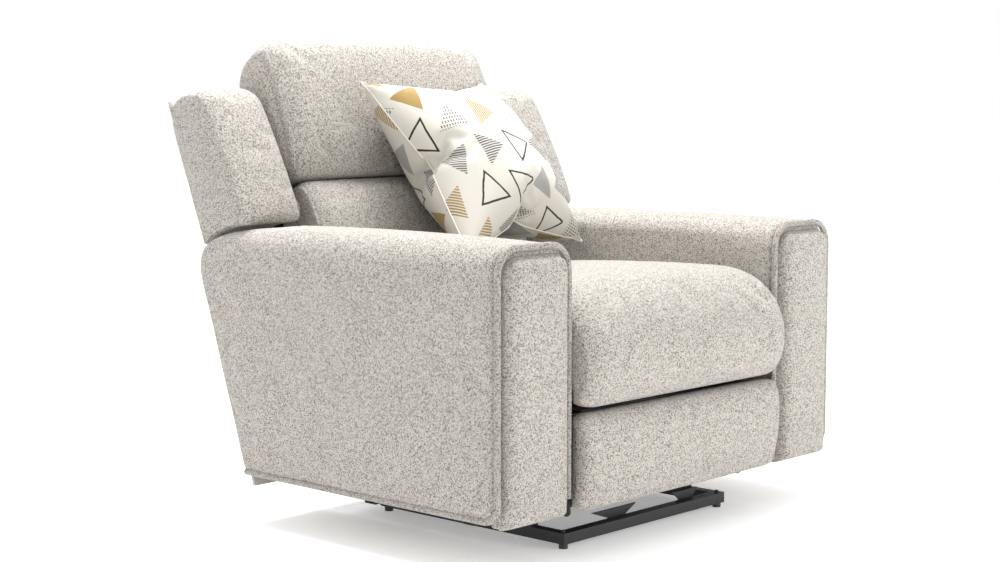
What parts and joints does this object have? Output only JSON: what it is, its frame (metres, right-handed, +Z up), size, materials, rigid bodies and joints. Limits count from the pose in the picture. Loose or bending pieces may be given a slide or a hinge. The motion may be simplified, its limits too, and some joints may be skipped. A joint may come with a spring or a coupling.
{
  "type": "recliner armchair",
  "caption": "Upholstered power recliner armchair with winged reclining back, gliding seat, lift-out footrest and a loose scatter cushion.",
  "frame": {"origin": "on the floor, under the middle of the bounding box", "axes": "+Z up, -Y towards the front, +X to the right when facing the chair's front"},
  "size_m": [1.06, 1.0304, 0.9972],
  "materials": {
    "oatmeal_fabric": "matte",
    "cushion_print": "matte",
    "backing_fabric": "matte",
    "timber": "matte",
    "black_steel": "satin",
    "zinc_steel": "satin",
    "black_plastic": "matte",
    "satin_button": "satin"
  },
  "bodies": {
    "base": {"front_rail": "black_steel", "rear_rail": "black_steel", "side_frame_left": "black_steel", "side_frame_right": "black_steel", "foot_front_left": "black_plastic", "foot_front_right": "black_plastic", "foot_rear_left": "black_plastic", "foot_rear_right": "black_plastic", "arm_beam_front": "black_steel", "arm_beam_rear": "black_steel", "glide_channel_left": "zinc_steel", "glide_channel_right": "zinc_steel", "rear_cover": "backing_fabric", "recline_track": "zinc_steel", "recline_motor": "black_plastic", "power_inlet": "black_plastic", "arm_cover_left": "oatmeal_fabric", "arm_cover_right": "oatmeal_fabric", "arm_board_left": "timber", "arm_board_right": "timber", "arm_front_left": "oatmeal_fabric", "arm_front_right": "oatmeal_fabric", "control_panel": "black_plastic"},
    "seat": {"seat_cushion": "oatmeal_fabric", "seat_frame": "timber", "seat_spring_1": "zinc_steel", "seat_spring_2": "zinc_steel", "seat_spring_3": "zinc_steel", "seat_plate_left": "black_steel", "seat_plate_right": "black_steel", "motor_tube": "black_steel", "lift_track": "zinc_steel", "lift_motor": "black_plastic"},
    "lift_links": {"lift_link_left": "black_steel", "lift_link_right": "black_steel", "lift_tube": "black_steel"},
    "cross_links": {"cross_link_left": "black_steel", "cross_link_right": "black_steel"},
    "reach_links": {"reach_link_left": "black_steel", "reach_link_right": "black_steel"},
    "outer_links": {"outer_link_left": "black_steel", "outer_link_right": "black_steel"},
    "footrest": {"footrest_bracket_left": "black_steel", "footrest_bracket_right": "black_steel", "footrest_board": "timber", "footrest_pad": "oatmeal_fabric"},
    "lift_carriage": {"lift_carriage": "black_plastic"},
    "back": {"back_board": "timber", "outside_back": "backing_fabric", "lumbar_cushion": "oatmeal_fabric", "head_cushion": "oatmeal_fabric", "wing_left": "oatmeal_fabric", "wing_right": "oatmeal_fabric", "back_bracket_left": "black_steel", "back_bracket_right": "black_steel", "recline_tube": "black_steel"},
    "recline_carriage": {"recline_carriage": "black_plastic"},
    "open_button": {"open_button": "satin_button"},
    "close_button": {"close_button": "satin_button"},
    "scatter_cushion": {"scatter_cushion": "cushion_print"}
  },
  "joints": [
    {"name": "back_recline", "type": "hinge", "parent": "base", "child": "back", "pos_m": [0, 0.238, 0.3], "axis": [-1, 0, 0], "range_deg": [0, 38]},
    {"name": "seat_glide", "type": "slide", "parent": "base", "child": "seat", "axis": [0, -1, 0], "range_m": [0, 0.0601]},
    {"name": "recline_drive", "type": "slide", "parent": "base", "child": "recline_carriage", "axis": [0, -1, 0], "range_m": [0, 0.0391]},
    {"name": "footrest_lift", "type": "hinge", "parent": "seat", "child": "lift_links", "pos_m": [0, -0.347, 0.262], "axis": [-1, 0, 0], "range_deg": [0, 70]},
    {"name": "cross_link_pivot", "type": "hinge", "parent": "lift_links", "child": "cross_links", "pos_m": [0, -0.36287, 0.172], "axis": [-1, 0, 0], "range_deg": [-120.1, 0]},
    {"name": "reach_link_pivot", "type": "hinge", "parent": "lift_links", "child": "reach_links", "pos_m": [0, -0.37874, 0.082], "axis": [-1, 0, 0], "range_deg": [-120.1, 0]},
    {"name": "outer_link_pivot", "type": "hinge", "parent": "cross_links", "child": "outer_links", "pos_m": [0, -0.37874, 0.262], "axis": [-1, 0, 0], "range_deg": [0, 120.1]},
    {"name": "footrest_tilt", "type": "hinge", "parent": "reach_links", "child": "footrest", "pos_m": [0, -0.41048, 0.262], "axis": [-1, 0, 0], "range_deg": [0, 146.1]},
    {"name": "lift_drive", "type": "slide", "parent": "seat", "child": "lift_carriage", "axis": [0, -1, 0], "range_m": [0, 0.0575]},
    {"name": "open_button_press", "type": "slide", "parent": "base", "child": "open_button", "axis": [-1, 0, 0], "range_m": [0, 0.0015], "stiffness_N_per_m": 600},
    {"name": "close_button_press", "type": "slide", "parent": "base", "child": "close_button", "axis": [-1, 0, 0], "range_m": [0, 0.0015], "stiffness_N_per_m": 600},
    {"name": "scatter_cushion_lift", "type": "slide", "parent": "back", "child": "scatter_cushion", "axis": [0, -0.6, 0.8], "range_m": [0, 0.25]}
  ],
  "couplings": [
    {"joint": "seat_glide", "follows": "back_recline", "m_per_rad": 0.090467},
    {"joint": "recline_drive", "follows": "back_recline", "m_per_rad": 0.058906},
    {"joint": "cross_link_pivot", "follows": "footrest_lift", "ratio": -1.7143},
    {"joint": "reach_link_pivot", "follows": "footrest_lift", "ratio": -1.7143},
    {"joint": "outer_link_pivot", "follows": "footrest_lift", "ratio": 1.7143},
    {"joint": "footrest_tilt", "follows": "footrest_lift", "ratio": 2.0857},
    {"joint": "lift_drive", "follows": "footrest_lift", "m_per_rad": 0.046948}
  ]
}
